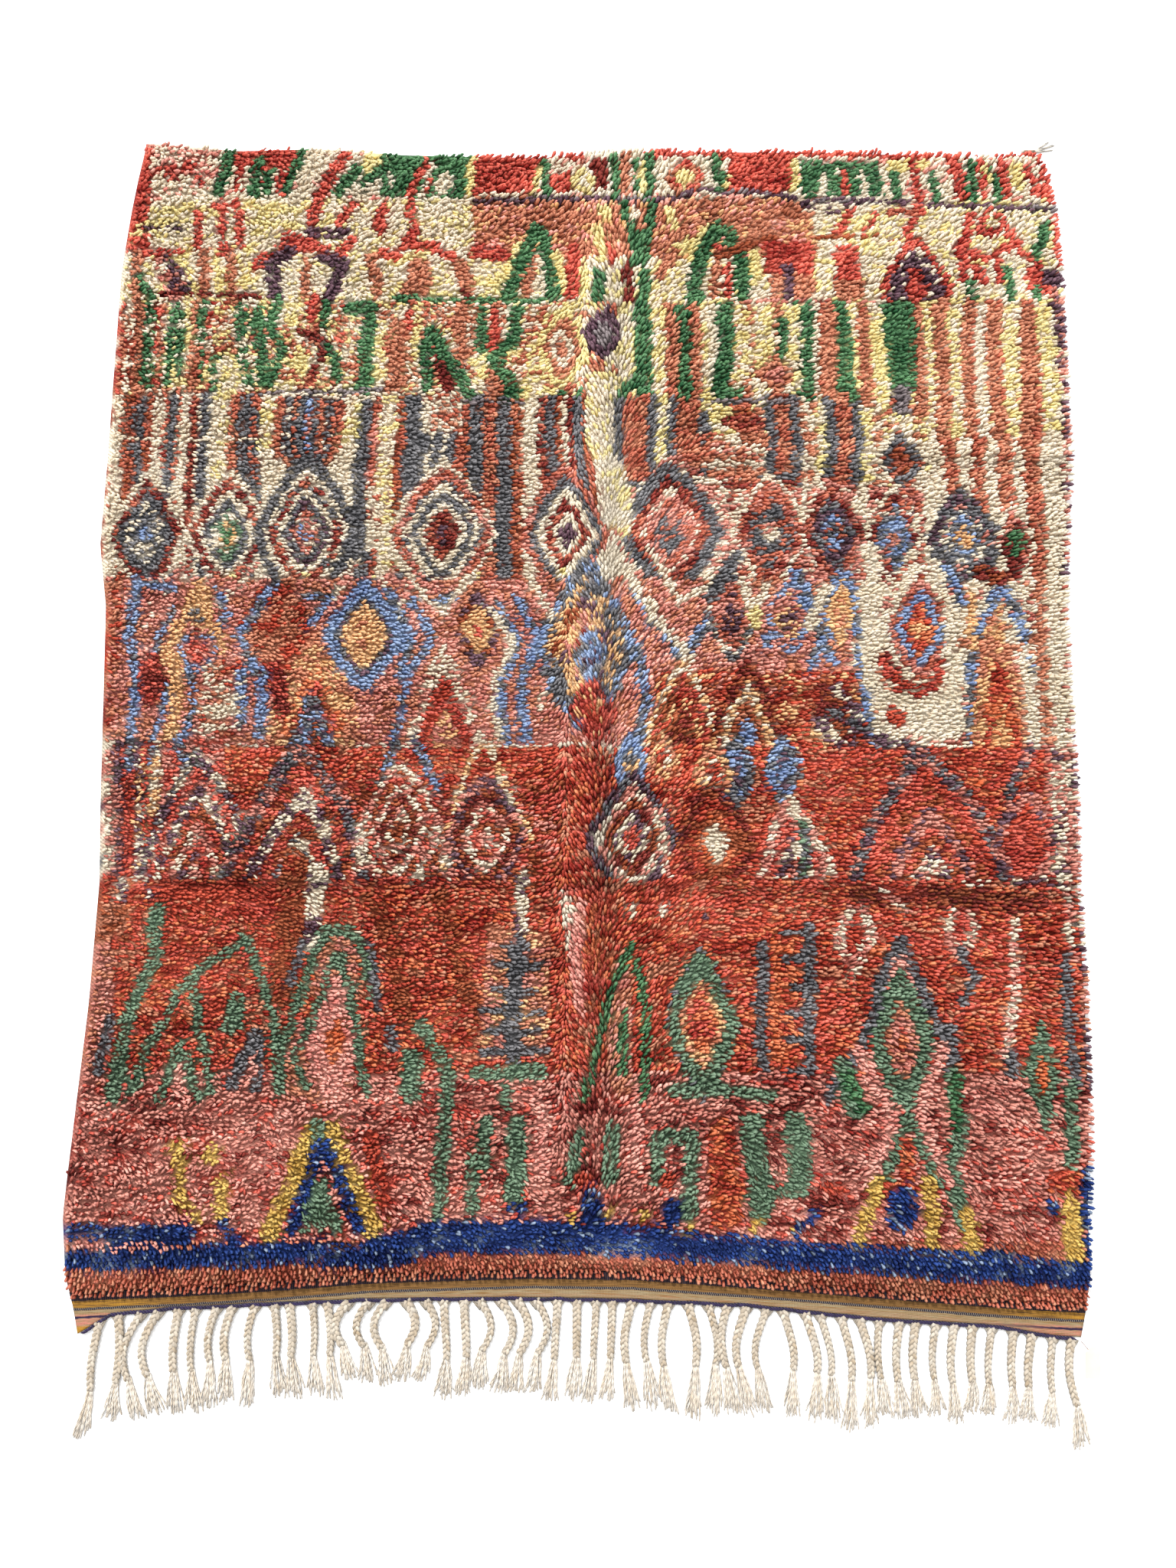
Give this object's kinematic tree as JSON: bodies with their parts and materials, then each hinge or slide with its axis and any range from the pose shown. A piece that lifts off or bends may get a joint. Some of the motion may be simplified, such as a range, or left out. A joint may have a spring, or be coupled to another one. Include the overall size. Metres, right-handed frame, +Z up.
{
  "type": "knotted wool pile rug with braided fringe",
  "caption": "Flat-lying rectangular hand-knotted shag pile rug with a flat-woven end band and a braided, tasselled cotton fringe on one end.",
  "frame": {"origin": "on the floor plane under the middle of the pile field, at the rug's flat underside", "axes": "+Z up, +Y up the length of the rug away from the fringe, +X across its width to the right"},
  "size_m": [1.6924, 2.2141, 0.0214],
  "materials": {
    "wool_pile": "matte hand-spun wool pile in reds, creams, greens, greys and blues",
    "cotton_braid": "matte undyed cotton yarn",
    "woven_tape": "smooth blank white tape with a slight sheen"
  },
  "bodies": {
    "root": {"rug": "wool_pile", "fringe": "cotton_braid", "corner_tuft": "cotton_braid", "corner_tag": "woven_tape"}
  },
  "joints": []
}
